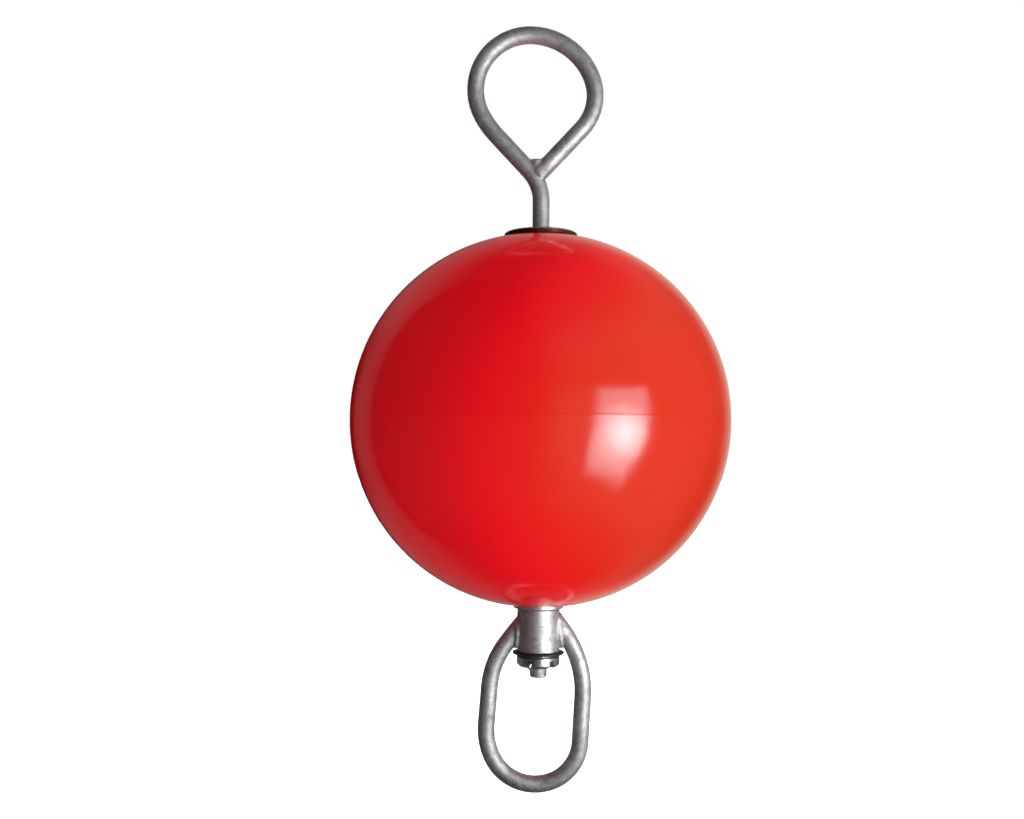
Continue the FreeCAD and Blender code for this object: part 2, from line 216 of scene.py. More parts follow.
# %% [markdown]
# ## What lights the matt surfaces
# All other rays gather light from a soft fill, a little pink, as a red ball makes a white room,
# and from four large soft patches on the backdrop and the ceiling. They lift the ball's right
# side and its two rims, and the gloss never mirrors them. They could be lamps kept out of mirror
# rays, as the key lamp is, but a patch of the world has no edge and so draws no line of shadow.
# Last, each kind of ray gets its own world: the camera sees plain white, mirror rays see the
# room, and the rest see the fill and its patches.

# %% World: fill light and patches
LIGHT_PATCHES = {  # name: two fades from dark to bright, each (along, start, end, brightness)
    "backdrop": ((x, -0.2, 0.5, 1.25), (y, 0.0, 0.5, 1.0)),
    "right_rim": ((x, 0.2, 0.5, 2.6), (y, 0.5, 0.8, 1.0)),
    "left_rim": ((x, -0.25, -0.6, 1.5), (y, 0.35, 0.75, 1.0)),
    "ceiling": ((x, -0.3, 0.4, 1.9), (z, 0.3, 0.9, 1.0)),
}
fill = (0.30, 0.19, 0.28)
for fades in LIGHT_PATCHES.values():
    sides = [add_node(sky, "ShaderNodeMapRange", SMOOTH, {
        "Value": along, "From Min": start, "From Max": end, "To Max": strength}).outputs[0]
        for along, start, end, strength in fades]
    patch = add_node(sky, "ShaderNodeMath", TIMES, {0: sides[0], 1: sides[1]})
    fill = add_node(sky, "ShaderNodeVectorMath", PLUS, {0: patch.outputs[0], 1: fill}).outputs[0]
print("light patches:", ", ".join(LIGHT_PATCHES))

# %% World: which ray sees what
ray = add_node(sky, "ShaderNodeLightPath")
lit_or_mirrored = add_node(sky, "ShaderNodeMix", COLOURS, {
    0: ray.outputs["Is Glossy Ray"], 6: fill, 7: mirrored_room.outputs[0]})
seen = add_node(sky, "ShaderNodeMath", {"operation": "MAXIMUM"}, {
    0: ray.outputs["Is Camera Ray"], 1: ray.outputs["Is Transmission Ray"]})
white_where_seen = add_node(sky, "ShaderNodeMix", COLOURS, {
    0: seen.outputs[0], 6: lit_or_mirrored.outputs[2], 7: (1.0, 1.0, 1.0, 1.0)})
shining = add_node(sky, "ShaderNodeBackground", inputs={
    "Color": white_where_seen.outputs[2], "Strength": 1.0})
add_node(sky, "ShaderNodeOutputWorld", inputs={"Surface": shining.outputs[0]})
print("world:", len(sky.nodes), "nodes")

# %% [markdown]
# ## The softbox
# One tall softbox stands to the right of the camera, a little below it, and gives the ball its
# window-like highlight. Its front is a cloth with its own outline, because that is what gloss
# shows, and an area lamp nearer the camera does the plain lighting. An area lamp alone would
# mirror as an even rectangle. The cloth is drawn as the ball's centre sees it, in degrees to the
# right of the front and degrees up, which makes it easy to move a corner of the highlight.

# %% Softbox: outline
def toward(azimuth, elevation, distance):
    """A point this far from the ball's centre: degrees to the right of the front, and up."""
    turn = math.radians(azimuth)
    rise = math.radians(elevation)
    arrow = Vector((math.sin(turn) * math.cos(rise), -math.cos(turn) * math.cos(rise), math.sin(rise)))
    return arrow * distance


STUDIO_DISTANCE = 1.3
CLOTH_MIDDLE = (43.0, 6.0)
CLOTH_CORNERS = ((25.5, 0.7), (24.5, -14.3), (23.5, -28.5), (49.2, -34.5), (56.5, -19),
                 (60, -8.7), (60.5, 1.2), (60.5, 15.8), (29, 15))
RIM_SHARE = 1.10
WHOLE_SHARE = 0.72


def cloth_ring(share):
    """The cloth's outline, drawn in towards its middle to this share of its size."""
    middle_azimuth, middle_elevation = CLOTH_MIDDLE
    return [toward(middle_azimuth + (azimuth - middle_azimuth) * share,
                   middle_elevation + (elevation - middle_elevation) * share, STUDIO_DISTANCE)
            for azimuth, elevation in CLOTH_CORNERS]


corners = len(CLOTH_CORNERS)
rim_faces = [(i, (i + 1) % corners, corners + (i + 1) % corners, corners + i) for i in range(corners)]
cloth_mesh = bpy.data.meshes.new("softbox_cloth")
cloth_mesh.from_pydata(cloth_ring(RIM_SHARE) + cloth_ring(WHOLE_SHARE), [],
                       [range(corners, 2 * corners)] + rim_faces)
inward = cloth_mesh.attributes.new("inward", "FLOAT", "POINT")
inward.data.foreach_set("value", [0.0] * corners + [1.0] * corners)
cloth = bpy.data.objects.new("softbox_cloth", cloth_mesh)
scene.collection.objects.link(cloth)
print("softbox:", cloth.name, "with", corners, "corners")

# %% [markdown]
# ## The softbox's glow
# A softbox isn't evenly bright. It glows most where its lamp is, its upper pane, past a bar, is
# dimmer, and its light dies away towards its rim. The three fades are multiplied. Camera and
# matt surfaces don't see the cloth, so it shapes the highlights and nothing else.

# %% Softbox: glow
cloth_material, cloth_tree = new_material("softbox_cloth")
cloth_tree.nodes.clear()
hot_spot = toward(44, -6.5, STUDIO_DISTANCE)
cloth_place = add_node(cloth_tree, "ShaderNodeTexCoord").outputs["Object"]
cloth_height = add_node(cloth_tree, "ShaderNodeSeparateXYZ", inputs={0: cloth_place})
from_lamp = add_node(cloth_tree, "ShaderNodeVectorMath", {"operation": "DISTANCE"}, {
    0: cloth_place, 1: hot_spot})
from_rim = add_node(cloth_tree, "ShaderNodeAttribute", {"attribute_name": "inward"})
CLOTH_FADES = (  # (along, start, end, brightness at the start, brightness at the end)
    (from_lamp.outputs["Value"], 0.0, 0.42, 22.0, 6.6),
    (cloth_height.outputs["Z"], 0.030, 0.055, 1.0, 0.70),
    (from_rim.outputs["Fac"], 0.0, 1.0, 0.04, 1.0),
)
cloth_glow = 1.0
for along, start, end, low, high in CLOTH_FADES:
    faded = add_node(cloth_tree, "ShaderNodeMapRange", SMOOTH, {
        "Value": along, "From Min": start, "From Max": end, "To Min": low, "To Max": high})
    dimmed = add_node(cloth_tree, "ShaderNodeMath", TIMES, {0: faded.outputs[0], 1: cloth_glow})
    cloth_glow = dimmed.outputs[0]
emission = add_node(cloth_tree, "ShaderNodeEmission", inputs={
    "Color": (0.90, 1.0, 1.05, 1.0), "Strength": cloth_glow})
add_node(cloth_tree, "ShaderNodeOutputMaterial", inputs={"Surface": emission.outputs[0]})
cloth_mesh.materials.append(cloth_material)
cloth.visible_camera = False
cloth.visible_diffuse = False
print("softbox: brightest", CLOTH_FADES[0][3], "at", [round(v, 2) for v in hot_spot], "m")

# %% [markdown]
# ## The key lamp
# The plain lighting comes from a soft square lamp nearly a metre wide, between the camera and the
# softbox, a little warm. Its size makes the shade on the ball's left soft. It is kept out of
# mirror rays, because the cloth is what the gloss shows.

# %% Key lamp
key_data = bpy.data.lights.new("key_lamp", "AREA")
key_data.shape = "SQUARE"
key_data.size = 0.9
key_data.energy = 6.6
key_data.color = (1.0, 0.98, 0.88)
key_lamp = bpy.data.objects.new("key_lamp", key_data)
key_lamp.location = toward(23, -6, STUDIO_DISTANCE)
key_lamp.rotation_euler = (-key_lamp.location).to_track_quat("-Z", "Y").to_euler()
key_lamp.visible_glossy = False
key_lamp.visible_camera = False
scene.collection.objects.link(key_lamp)
print("key lamp at", [round(v, 2) for v in key_lamp.location], "m")

# %% [markdown]
# ## The floor
# A plain pale floor lies well below the bow. It is lit by the same lamps and lifted to white for
# the camera alone, so a shadow still darkens it. On the lamps' side it glows a little for every
# ray, and that is the light that comes up under the ball. It is left out of mirror rays, so that
# the ball's underside stays as deep a red as its front. It is solid from above and clear from
# below, so that a camera placed under it still sees the nut and the bow.

# %% Floor
FLOOR_LEVEL = -0.75      # metres
FLOOR_REACH = 40         # metres to each side
CAMERA_LIFT = 0.85       # glow for the camera alone, where 1 is white
LAMP_SIDE_GLOW = 0.55    # glow for every ray, on the lamps' side


def pale_floor():
    material, tree = new_material("pale_floor")
    tree.nodes.clear()
    matt = add_node(tree, "ShaderNodeBsdfDiffuse", inputs={"Color": (0.6, 0.6, 0.6, 1.0)})
    ray = add_node(tree, "ShaderNodeLightPath")
    place = add_node(tree, "ShaderNodeTexCoord")
    across = add_node(tree, "ShaderNodeSeparateXYZ", inputs={0: place.outputs["Object"]})
    lamp_side = add_node(tree, "ShaderNodeMapRange", SMOOTH, {
        "Value": across.outputs["X"], "From Min": -0.6, "From Max": 0.6, "To Max": LAMP_SIDE_GLOW})
    lift = add_node(tree, "ShaderNodeMath", TIMES_PLUS, {
        0: ray.outputs["Is Camera Ray"], 1: CAMERA_LIFT, 2: lamp_side.outputs[0]})
    glow = add_node(tree, "ShaderNodeEmission", inputs={"Strength": lift.outputs[0]})
    both = add_node(tree, "ShaderNodeAddShader", inputs={0: matt.outputs[0], 1: glow.outputs[0]})
    side = add_node(tree, "ShaderNodeNewGeometry")
    clear = add_node(tree, "ShaderNodeBsdfTransparent")
    from_above = add_node(tree, "ShaderNodeMixShader", inputs={
        0: side.outputs["Backfacing"], 1: both.outputs[0], 2: clear.outputs[0]})
    add_node(tree, "ShaderNodeOutputMaterial", inputs={"Surface": from_above.outputs[0]})
    return material


floor_corners = [(across * FLOOR_REACH, back * FLOOR_REACH, FLOOR_LEVEL)
                 for across, back in ((-1, -1), (1, -1), (1, 1), (-1, 1))]
floor_mesh = bpy.data.meshes.new("studio_floor")
floor_mesh.from_pydata(floor_corners, [], [(0, 1, 2, 3)])
floor = bpy.data.objects.new("studio_floor", floor_mesh)
scene.collection.objects.link(floor)
floor_mesh.materials.append(pale_floor())
floor.visible_glossy = False
print("floor at", FLOOR_LEVEL, "m")

# %% [markdown]
# ## Moulded polyethylene: its colour, with painted light and shade
# The ball is rotomoulded polyethylene, coloured all through, with a faint cloudiness where the
# powder melted unevenly. Light and shade are painted onto its red: it drifts from a deep crimson
# of painted shade on its left flank, through a brighter crimson of painted light, to an orange
# red of painted light on its lit right side. The drift is worked out from where a point is on
# the ball, along a front that leans and curves, so that it stays put when the ball is seen from
# elsewhere.

# %% Material: the ball's red
# The deep crimson is painted shade, and the bright crimson and the orange red are painted light.
PAINTED_SHADE_CRIMSON = "#de0c1a"
PAINTED_LIGHT_CRIMSON = "#f00c1a"
PAINTED_LIGHT_ORANGE_RED = "#da3014"
FRONT_LEAN = -0.19       # how far the front moves aside for each step up
FRONT_CURVE = -3.6       # how far it bends back, per metre, with the height squared


def polyethylene_colour_and_painted_light(tree, place):
    cloud = add_node(tree, "ShaderNodeTexNoise", inputs={
        "Vector": place, "Scale": per_metre(45), "Detail": 3.0})
    across = add_node(tree, "ShaderNodeSeparateXYZ", inputs={0: place})
    height_squared = add_node(tree, "ShaderNodeMath", TIMES, {
        0: across.outputs["Z"], 1: across.outputs["Z"]})
    leaning = add_node(tree, "ShaderNodeMath", TIMES_PLUS, {
        0: across.outputs["Z"], 1: FRONT_LEAN, 2: across.outputs["X"]})
    front = add_node(tree, "ShaderNodeMath", TIMES_PLUS, {
        0: height_squared.outputs[0], 1: FRONT_CURVE, 2: leaning.outputs[0]})
    # Painted light: a brighter crimson band, then the orange red of the lit side, each laid along the
    # front.
    painted_light_crimson_share = add_node(tree, "ShaderNodeMapRange", SMOOTH, {
        "Value": front.outputs[0], "From Min": -125 * MM, "From Max": -50 * MM})
    painted_light_share = add_node(tree, "ShaderNodeMapRange", SMOOTH, {
        "Value": front.outputs[0], "From Min": -80 * MM, "From Max": 80 * MM})
    # The cloud is the plastic's own uneven tone, added to the share of painted light.
    cloud_and_painted_light = add_node(tree, "ShaderNodeMath", TIMES_PLUS, {
        0: cloud.outputs["Fac"], 1: 0.08, 2: painted_light_share.outputs[0]})
    crimson = add_node(tree, "ShaderNodeMix", COLOURS, {
        0: painted_light_crimson_share.outputs[0], 6: linear(PAINTED_SHADE_CRIMSON), 7: linear(PAINTED_LIGHT_CRIMSON)})
    red = add_node(tree, "ShaderNodeMix", COLOURS, {
        0: cloud_and_painted_light.outputs[0], 6: crimson.outputs[2], 7: linear(PAINTED_LIGHT_ORANGE_RED)})
    return red.outputs[2]


print("ball:", PAINTED_SHADE_CRIMSON, "through", PAINTED_LIGHT_CRIMSON, "to", PAINTED_LIGHT_ORANGE_RED)

# %% [markdown]
# ## Moulded polyethylene: its skin
# The ball copies a polished mould, so it is glossy, but it shrinks as it cools. That leaves long
# shallow waves, sink marks as wide as a thumb and a fine orange peel, which bend what the ball
# mirrors and tell the eye "plastic". They could be displaced in the mesh, but they are far
# shallower than they are wide, and a bump does it. The real peel is about a millimetre and
# wouldn't show at this distance, so it is drawn at four. The gloss is tinted cool, which keeps
# the highlight from burning out to pink.

# %% Material: the red ball
SKIN_RELIEF = (  # (width in mm, detail, depth in mm, strength)
    (60, 1.5, 0.9, 0.7),     # waves
    (24, 1.0, 0.3, 0.5),     # sink marks
    (4, 2.0, 0.02, 0.5),     # orange peel
)


def polyethylene_skin(tree, place):
    """The normal of the ball's skin, each relief laid on the one before."""
    skin = None
    for size, detail, depth, strength in SKIN_RELIEF:
        relief = add_node(tree, "ShaderNodeTexNoise", inputs={
            "Vector": place, "Scale": per_metre(size), "Detail": detail})
        bump = add_node(tree, "ShaderNodeBump", inputs={
            "Height": relief.outputs["Fac"], "Distance": depth * MM, "Strength": strength})
        if skin:
            tree.links.new(skin, bump.inputs["Normal"])
        skin = bump.outputs["Normal"]
    return skin


def moulded_polyethylene():
    material, tree = new_material("moulded_polyethylene_red")
    shader = tree.nodes["Principled BSDF"]
    place = add_node(tree, "ShaderNodeTexCoord").outputs["Object"]
    rubbed = add_node(tree, "ShaderNodeTexNoise", inputs={
        "Vector": place, "Scale": per_metre(25), "Detail": 5.0})
    polish = add_node(tree, "ShaderNodeMapRange", inputs={
        "Value": rubbed.outputs["Fac"], "To Min": 0.11, "To Max": 0.14})
    shader.inputs["IOR"].default_value = 1.51
    shader.inputs["Specular Tint"].default_value = (0.55, 1.0, 1.0, 1.0)
    tree.links.new(polyethylene_colour_and_painted_light(tree, place), shader.inputs["Base Color"])
    tree.links.new(polish.outputs[0], shader.inputs["Roughness"])
    tree.links.new(polyethylene_skin(tree, place), shader.inputs["Normal"])
    return material


red_polyethylene = moulded_polyethylene()
print("material:", red_polyethylene.name)

# %% [markdown]
# ## Hot-dip galvanised steel
# The bar was dipped in molten zinc. The skin is matt to satin, mottled in patches of crystals a
# few millimetres across, with a fine pebbled texture, and it dulls unevenly. A metal has no
# colour under its mirror, so what tells the eye "zinc" is the mottled roughness and the grain.
# An image texture would do it too, but noise in the part's own space wraps round bent bar without
# a seam. The real grain is under a millimetre, and is drawn coarser so that it shows. On turned
# faces it is stretched round the part, as the tool left it.

# %% Material: zinc's mottle
def zinc_mottle(tree, place, grain_mm, stretch):
    """The zinc's mottle, from 0 dark to 1 light, and the fine grain that is part of it.

    Crystals add up to 0.12 to the patches and the grain up to 0.9, and the sum is stretched to
    the whole way from dark to light.
    """
    crystals = add_node(tree, "ShaderNodeTexVoronoi", inputs={
        "Vector": place, "Scale": per_metre(5), "Randomness": 1.0})
    crystal_tone = add_node(tree, "ShaderNodeSeparateColor", inputs={0: crystals.outputs["Color"]})
    patches = add_node(tree, "ShaderNodeTexNoise", inputs={
        "Vector": place, "Scale": per_metre(11), "Detail": 4.0, "Roughness": 0.6})
    grain_way = add_node(tree, "ShaderNodeMapping", inputs={"Vector": place, "Scale": stretch})
    grain = add_node(tree, "ShaderNodeTexNoise", inputs={
        "Vector": grain_way.outputs[0], "Scale": per_metre(grain_mm), "Detail": 3.0, "Roughness": 0.7})
    patchy = add_node(tree, "ShaderNodeMath", TIMES_PLUS, {
        0: crystal_tone.outputs[0], 1: 0.12, 2: patches.outputs["Fac"]})
    grainy = add_node(tree, "ShaderNodeMath", TIMES_PLUS, {
        0: grain.outputs["Fac"], 1: 0.9, 2: patchy.outputs[0]})
    mottle = add_node(tree, "ShaderNodeMapRange", inputs={
        "Value": grainy.outputs[0], "From Min": 0.69, "From Max": 1.28})
    return mottle.outputs[0], grain.outputs["Fac"]


print("zinc: crystals 5 mm, patches 11 mm")

# %% [markdown]
# ## Darker below a level on the zinc
# Low on the bow the zinc is darker, in dark flecks. The top plate's rim, under its top edge, is
# painted a dark red brown, a painted reflection of the red ball with painted shade, which leaves
# the top edge pale as a painted highlight. Both begin at a level on the part and fade in over a
# short height, and the flecks follow the zinc's own grain. A painted mask would need a texture,
# while a level and the grain give the same from numbers that mean something.

# %% Material: worn zinc
FLECK_CONTRAST = 2.6
FLECK_START = 0.95       # a fleck begins where the grain times the contrast passes this


def darkened_below(tree, place, grain, zinc, level, fades_over, colour, evenness):
    """Mix a darker colour into the zinc under a level: in flecks at evenness 0, nearly whole at 1.

    On the top plate the darker colour is a painted reflection of the red ball with painted shade.
    """
    height = add_node(tree, "ShaderNodeSeparateXYZ", inputs={0: place})
    low_down = add_node(tree, "ShaderNodeMapRange", SMOOTH, {
        "Value": height.outputs["Z"], "From Min": (level - fades_over) * MM, "From Max": level * MM,
        "To Min": 1.0, "To Max": 0.0})
    flecks = add_node(tree, "ShaderNodeMath", {"operation": "MULTIPLY_ADD", "use_clamp": True}, {
        0: grain, 1: FLECK_CONTRAST, 2: evenness - FLECK_START})
    dark_share = add_node(tree, "ShaderNodeMath", TIMES, {0: low_down.outputs[0], 1: flecks.outputs[0]})
    darkening = add_node(tree, "ShaderNodeMix", COLOURS, {0: dark_share.outputs[0], 6: zinc, 7: linear(colour)})
    return darkening.outputs[2]


# (level in mm, height it fades over in mm, colour, evenness)
# The bow is darker in flecks towards its bottom, from this level down.
bow_dark_flecks = (hub_top - 156.6, 25.0, "#4b4a4b", 0.0)
# The top plate's rim under its top edge is painted dark red brown, a painted reflection of the red ball
# with painted shade, which leaves the top edge pale as a painted highlight.
plate_painted_reflection = (plate_top - 0.7, 1.2, "#5c2b29", 0.8)
# The plate's level is where its painted reflection and painted shade begin.
print("worn below", round(bow_dark_flecks[0], 1), "mm, painted_reflection below", round(plate_painted_reflection[0], 1), "mm")

# %% Materials: galvanised parts
def galvanised_steel(name, light, dark, grain_mm, roughness, stretch=(1.0, 1.0, 1.0), darkening=None):
    """Zinc that runs from dark to light with its mottle: the lighter, the smoother."""
    material, tree = new_material(name)
    shader = tree.nodes["Principled BSDF"]
    place = add_node(tree, "ShaderNodeTexCoord").outputs["Object"]
    mottle, grain = zinc_mottle(tree, place, grain_mm, stretch)
    clean = add_node(tree, "ShaderNodeMix", COLOURS, {0: mottle, 6: linear(dark), 7: linear(light)})
    zinc = clean.outputs[2]
    if darkening:
        zinc = darkened_below(tree, place, grain, zinc, *darkening)
    dull = add_node(tree, "ShaderNodeMapRange", inputs={
        "Value": mottle, "To Min": roughness + 0.10, "To Max": roughness - 0.05})
    pebbles = add_node(tree, "ShaderNodeBump", inputs={
        "Height": grain, "Distance": 0.2 * MM, "Strength": 0.65})
    shader.inputs["Metallic"].default_value = 0.92
    tree.links.new(zinc, shader.inputs["Base Color"])
    tree.links.new(dull.outputs[0], shader.inputs["Roughness"])
    tree.links.new(pebbles.outputs["Normal"], shader.inputs["Normal"])
    return material


ROUND_THE_ROD = (0.35, 0.35, 1.0)
# Bent bar, dipped: dull, mid grey, mottled.
galvanised_bar = galvanised_steel("galvanised_bar", "#d2cecd", "#939091", 1.6, 0.58, darkening=bow_dark_flecks)
# Turned, then dipped: a soft upright sheen, with the grain lying round the hub.
galvanised_hub = galvanised_steel("galvanised_turned_hub", "#d9d5d4", "#979396", 1.8, 0.52, ROUND_THE_ROD)
# Zinc over weld metal: the finest grain.
galvanised_weld = galvanised_steel("galvanised_weld", "#d6d2d1", "#989496", 1.0, 0.55)
# Flat plate, smoother, painted paler and pinkish: a painted highlight and a painted reflection of the red
# ball.
flange_with_painted_reflection = galvanised_steel("galvanised_flange", "#e6d8d6", "#b9a9a8", 1.4, 0.42)
# The same, duller, with its rim under the top edge painted dark red brown: a painted reflection of the red
# ball with painted shade.
plate_steel = galvanised_steel("plate_with_painted_reflection", "#e0d6d2", "#a79c99", 1.5, 0.45, darkening=plate_painted_reflection)
for steel in (galvanised_bar, galvanised_hub, galvanised_weld, flange_with_painted_reflection, plate_steel):
    print("metal:", steel.name)

# %% [markdown]
# ## The small parts' finishes
# The nut is electroplated with zinc and the split pin is drawn bright wire. Both are the same
# metal as the bar with a thinner, smoother skin, so they use the same recipe with a finer grain
# and a lower roughness: sharper, more contrasty mirrors tell them from the dipped bar. The slip
# washer is pressed fibre, dark and dull, with fine brown flecks. Its flecks are half a millimetre
# on the real thing, and are drawn three times as large so that they show.

# %% Materials: nut, pin and slip washer
zinc_plated = galvanised_steel("zinc_plated_nut", "#cfcbca", "#7f7a7b", 0.9, 0.28)
bright_wire = galvanised_steel("bright_steel_wire", "#e2e1de", "#bdbbb7", 0.5, 0.22)


def fibre_washer():
    material, tree = new_material("fibre_slip_washer")
    shader = tree.nodes["Principled BSDF"]
    place = add_node(tree, "ShaderNodeTexCoord").outputs["Object"]
    flecks = add_node(tree, "ShaderNodeTexNoise", inputs={
        "Vector": place, "Scale": per_metre(1.5), "Detail": 4.0})
    tint = add_node(tree, "ShaderNodeMix", COLOURS, {
        0: flecks.outputs["Fac"], 6: linear("#0e0908"), 7: linear("#2f1813")})
    rough = add_node(tree, "ShaderNodeBump", inputs={
        "Height": flecks.outputs["Fac"], "Distance": 0.15 * MM, "Strength": 0.6})
    shader.inputs["Roughness"].default_value = 0.5
    shader.inputs["IOR"].default_value = 1.5
    tree.links.new(tint.outputs[2], shader.inputs["Base Color"])
    tree.links.new(rough.outputs["Normal"], shader.inputs["Normal"])
    return material


slip_fibre = fibre_washer()
print("small parts:", zinc_plated.name, bright_wire.name, slip_fibre.name)

# %% [markdown]
# ## Finishes on the parts
# The CAD parts keep their meshes. Each only gets its finish, in the object's own material slots,
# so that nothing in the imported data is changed.

# %% Finishes on the parts
FINISHES = {
    "float_upper": red_polyethylene, "float_lower": red_polyethylene,
    "eye_rod": galvanised_bar, "swivel_bow": galvanised_bar,
    "eye_weld": galvanised_weld, "bow_weld_left": galvanised_weld, "bow_weld_right": galvanised_weld,
    "top_plate": plate_steel, "top_plate_weld": galvanised_weld, "bottom_plate": flange_with_painted_reflection,
    "swivel_hub": galvanised_hub, "slip_washer": slip_fibre, "castle_nut": zinc_plated,
    "split_pin": bright_wire,
}
for name, material in FINISHES.items():
    for slot in parts[name].material_slots:
        slot.link = "OBJECT"
        slot.material = material
    print(name, "->", material.name, len(parts[name].data.polygons), "faces")

# %% [markdown]
# ## Helpers for round pieces
# The parting line, the thread and the washers are all a small section carried round the rod. The
# section is a loop of points, and each loop is joined to the next by a band of faces. Blender's
# spin and screw tools do the same, but here every point is placed by its radius and height.

# %% Helpers for round pieces
def loop_at(mesh, section, turn, level):
    """A section's loop at one angle round the rod: (radius, height above the level) in millimetres."""
    return [mesh.verts.new((radius * MM * math.cos(turn), radius * MM * math.sin(turn), (level + up) * MM))
            for radius, up in section]


def join_loops(mesh, here, there):
    """A band of four-sided faces from one loop to the next."""
    for j in range(len(here)):
        k = (j + 1) % len(here)
        mesh.faces.new((here[j], there[j], there[k], here[k]))


def finished_piece(name, mesh, material, smooth=True):
    """The mesh as an object in the scene, with one finish."""
    for face in mesh.faces:
        face.smooth = smooth
    data = bpy.data.meshes.new(name)
    mesh.to_mesh(data)
    mesh.free()
    data.materials.append(material)
    piece = bpy.data.objects.new(name, data)
    scene.collection.objects.link(piece)
    return piece


def spun_ring(name, section, level, steps, material):
    """A closed ring: the section carried once round the rod."""
    mesh = bmesh.new()
    loops = [loop_at(mesh, section, 2 * math.pi * i / steps, level) for i in range(steps)]
    for i in range(steps):
        join_loops(mesh, loops[i], loops[(i + 1) % steps])
    bmesh.ops.recalc_face_normals(mesh, faces=mesh.faces)
    return finished_piece(name, mesh, material)


print("helpers:", spun_ring.__name__, finished_piece.__name__)

# %% [markdown]
# ## The parting line
# The ball is moulded in two halves, welded together at their seam, and the bead that the weld
# squeezed out was scraped off. What is left is a faint line round the equator, not an open
# groove. The CAD halves meet in a small V. A thin ring of the same plastic fills that V to just
# under the surface, with rounded edges, so that it catches the light as the scraped skin does.

# %% Parting line
# (depth under the ball's skin, height above the seam), in millimetres
SEAM_FILL = ((1.0, -0.75), (0.15, -0.55), (0.05, -0.3), (0.05, 0.3), (0.15, 0.55), (1.0, 0.75))
seam_section = [(seam_radius - depth, up) for depth, up in SEAM_FILL]
parting_line = spun_ring("parting_line", seam_section, seam_level, 240, red_polyethylene)
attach(parting_line, "float_and_rod")
print(parting_line.name, len(parting_line.data.polygons), "faces")

# %% [markdown]
# ## Welds that flow into the bars
# Arc weld metal wets the steel on both sides, so a real bead has no edge: the bars swell into it.
# The CAD bead is a plain one that stops at its edge. Here each joint gets a skin. The bars and
# the bead are fused by a voxel remesh, the corners are relaxed into hollow fillets, and the skin
# is then pushed out a little at the weld and sunk into the bars away from it, so that no seam
# shows. Fine ripples, from the weld pool, run across it. It has the bar's finish, so that it
# runs on into the bar.

# %% Fusing bars and bead
VOXEL = 0.6


def fused_copy(node_names):
    """One closed mesh round several parts, made from copies of their meshes."""
    joined = bmesh.new()
    for name in node_names:
        joined.from_mesh(parts[name].data)
    data = bpy.data.meshes.new("fused")
    joined.to_mesh(data)
    joined.free()
    shell = bpy.data.objects.new("fused", data)
    scene.collection.objects.link(shell)
    remesh = shell.modifiers.new("fuse", "REMESH")
    remesh.mode = "VOXEL"
    remesh.voxel_size = VOXEL * MM
    bpy.context.view_layer.update()
    evaluated = shell.evaluated_get(bpy.context.evaluated_depsgraph_get())
    mesh = bmesh.new()
    mesh.from_mesh(evaluated.to_mesh())
    evaluated.to_mesh_clear()
    bpy.data.objects.remove(shell)
    return mesh


def smoothstep(value, start, end):
    t = min(1.0, max(0.0, (value - start) / (end - start)))
    return t * t * (3 - 2 * t)


print("weld skins: voxel", VOXEL, "mm")

# %% Weld skins
TRIM_MARGIN = 3        # mm of skin kept beyond where it has sunk into the bars
SUNK = 0.7             # mm that its edge lies inside the bars
BARE_DEPTH = 2.6       # mm more where no weld was laid
RIPPLES = ((1.9, 0.10), (5.0, 0.22))   # (width, height) in mm


def weld_skin(name, node_names, centre, tall, full, gone, rounds, proud, bare):
    """The joint's skin: whole within `full` mm of the centre, inside the bars from `gone` on.

    `tall` stretches that distance up the joint, `rounds` is how often the corners are relaxed,
    `proud` is the height that the weld stands out, and `bare` says where no weld was laid.
    """
    mesh = fused_copy(node_names)
    centre = Vector(centre) * MM
    shorter = Vector((1, 1, 1 / tall))
    outside = [v for v in mesh.verts if ((v.co - centre) * shorter).length > (gone + TRIM_MARGIN) * MM]
    bmesh.ops.delete(mesh, geom=outside, context="VERTS")
    for _ in range(rounds):
        bmesh.ops.smooth_vert(mesh, verts=mesh.verts, factor=0.5,
                              use_axis_x=True, use_axis_y=True, use_axis_z=True)
    mesh.normal_update()
    moves = []
    for v in mesh.verts:
        sinking = smoothstep(((v.co - centre) * shorter).length / MM, full, gone)
        ripple = sum(noise.noise(v.co / (width * MM)) * height for width, height in RIPPLES)
        height = (proud + ripple) * (1 - sinking) - SUNK * sinking
        moves.append(v.normal * (height - BARE_DEPTH * bare(v.co / MM)) * MM)
    for v, move in zip(mesh.verts, moves):
        v.co += move
    bmesh.ops.holes_fill(mesh, edges=mesh.edges, sides=0)
    return finished_piece(name, mesh, galvanised_bar)


print("weld ripples:", RIPPLES, "mm")

# %% [markdown]
# ## The eye's weld
# The bar's end comes back to the shank at a slant and is welded on, which closes the eye. The
# welder left the leg's lower side bare, so the skin is sunk there for good, and the bar shows.

# %% Eye weld
LEG_END = Vector((2.0, 0, plate_top + 62.6))
LEG_LEAN = math.radians(43.1)
ACROSS_LEG = Vector((math.cos(LEG_LEAN), 0, -math.sin(LEG_LEAN)))


def under_the_leg(point):
    """1 on the returning leg's lower side, which the welder left bare, and 0 above its middle."""
    return smoothstep((point - LEG_END).dot(ACROSS_LEG), 2.5, 7.5)


eye_joint = weld_skin("eye_weld_skin", ("eye_rod", "eye_weld"), (0, 0, plate_top + 66), tall=1.0,
                      full=12, gone=24, rounds=13, proud=0.32, bare=under_the_leg)
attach(eye_joint, "float_and_rod")
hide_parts("eye_weld")
print(eye_joint.name, len(eye_joint.data.polygons), "faces")

# %% [markdown]
# ## The bow's welds
# Each leg of the bow is coped to the hub and welded down both sides, so the weld is taller than
# it is wide. Nothing stands proud at the hub's two turned ends, which run between the plate and
# the washer. The two skins turn with the swivel.

# %% Bow welds
HUB_MIDDLE = hub_top - 22.8
WELD_ENDS = (17.5, 21.8)


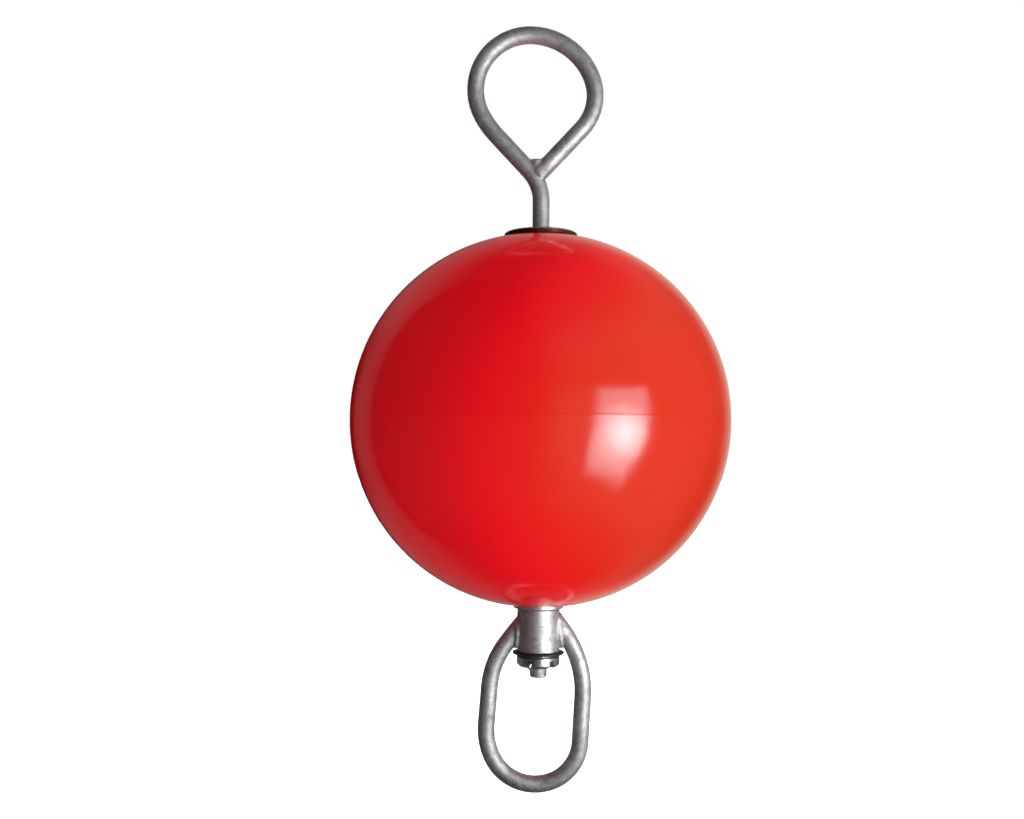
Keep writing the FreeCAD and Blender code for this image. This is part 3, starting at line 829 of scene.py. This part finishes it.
def near_hub_end(point):
    """1 at the hub's turned ends, where no weld stands proud, and 0 between them."""
    return smoothstep(abs(point.z - HUB_MIDDLE), *WELD_ENDS)


for name, side in (("left", -1), ("right", 1)):
    node = "bow_weld_" + name
    skin = weld_skin(node + "_skin", ("swivel_hub", "swivel_bow", node),
                     (side * (hub_radius + 1.0), 0, hub_top - 23.6), tall=1.4,
                     full=12, gone=25, rounds=18, proud=0.35, bare=near_hub_end)
    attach(skin, "swivel")
    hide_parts(node)
    print(skin.name, len(skin.data.polygons), "faces")

# %% [markdown]
# ## The thread on the rod's end
# The nut is screwed on a rolled thread, and the last turns stand below it. The rod in CAD is
# plain, so the thread is a ridge wound round it: a four-sided section carried along a helix, with
# its root just inside the rod and its crest a third of a millimetre proud, which sinks to the
# rod's own size at both ends. A bump would show no teeth on the rod's outline.

# %% Rod thread
STEPS_A_TURN = 40
RUN_OUT_STEPS = 14       # over which the crest rises at each end
PITCH = 2.5              # mm
TURNS = 3.4
ROOT_DEPTH = 0.4         # mm inside the rod
CREST = 0.32             # mm outside it
HALF_ROOT = 0.52         # half the ridge's width, as a share of the pitch
HALF_CREST = 0.07


def thread_ridge(name, radius, top, material):
    mesh = bmesh.new()
    steps = int(TURNS * STEPS_A_TURN)
    loops = []
    for i in range(steps + 1):
        grown = min(1.0, i / RUN_OUT_STEPS, (steps - i) / RUN_OUT_STEPS)
        root = radius - ROOT_DEPTH
        crest = radius + CREST * grown
        section = ((root, HALF_ROOT * PITCH), (crest, HALF_CREST * PITCH),
                   (crest, -HALF_CREST * PITCH), (root, -HALF_ROOT * PITCH))
        turn = 2 * math.pi * i / STEPS_A_TURN
        loops.append(loop_at(mesh, section, turn, top - PITCH * i / STEPS_A_TURN))
    for here, there in zip(loops, loops[1:]):
        join_loops(mesh, here, there)
    mesh.faces.new(loops[0])
    mesh.faces.new(list(reversed(loops[-1])))
    bmesh.ops.recalc_face_normals(mesh, faces=mesh.faces)
    return finished_piece(name, mesh, material, smooth=False)


rod_thread = thread_ridge("rod_thread", rod_radius, nut_bottom - 1.4, galvanised_bar)
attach(rod_thread, "float_and_rod")
print(rod_thread.name, len(rod_thread.data.polygons), "faces")

# %% [markdown]
# ## The slip washer
# The swivel runs on a thin black fibre disc. Under it lies the nut's own bright washer face,
# smaller than the disc. CAD has one washer as thick as both, which they replace. Both are spun
# from their sections: the disc with a rounded rim, worn where the hub rubs it, and the washer
# face with a chamfer that gives the eye one light line.

# %% Slip washer and washer face
# (radius, height under the washer's top), in millimetres
DISC_SECTION = ((9.3, -0.1), (26.6, -0.1), (27.2, -0.4), (27.4, -1.1),
                (27.2, -1.8), (26.6, -2.1), (9.3, -2.1))
FACE_SECTION = ((9.3, -2.15), (20.5, -2.15), (21.2, -2.6), (21.2, -3.9), (20.6, -4.18), (9.3, -4.18))
slip_disc = spun_ring("slip_disc", DISC_SECTION, washer_top, 128, slip_fibre)
washer_face = spun_ring("nut_washer_face", FACE_SECTION, washer_top, 128, zinc_plated)
for piece in (slip_disc, washer_face):
    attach(piece, "float_and_rod")
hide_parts("slip_washer")
print(slip_disc.name, washer_face.name)
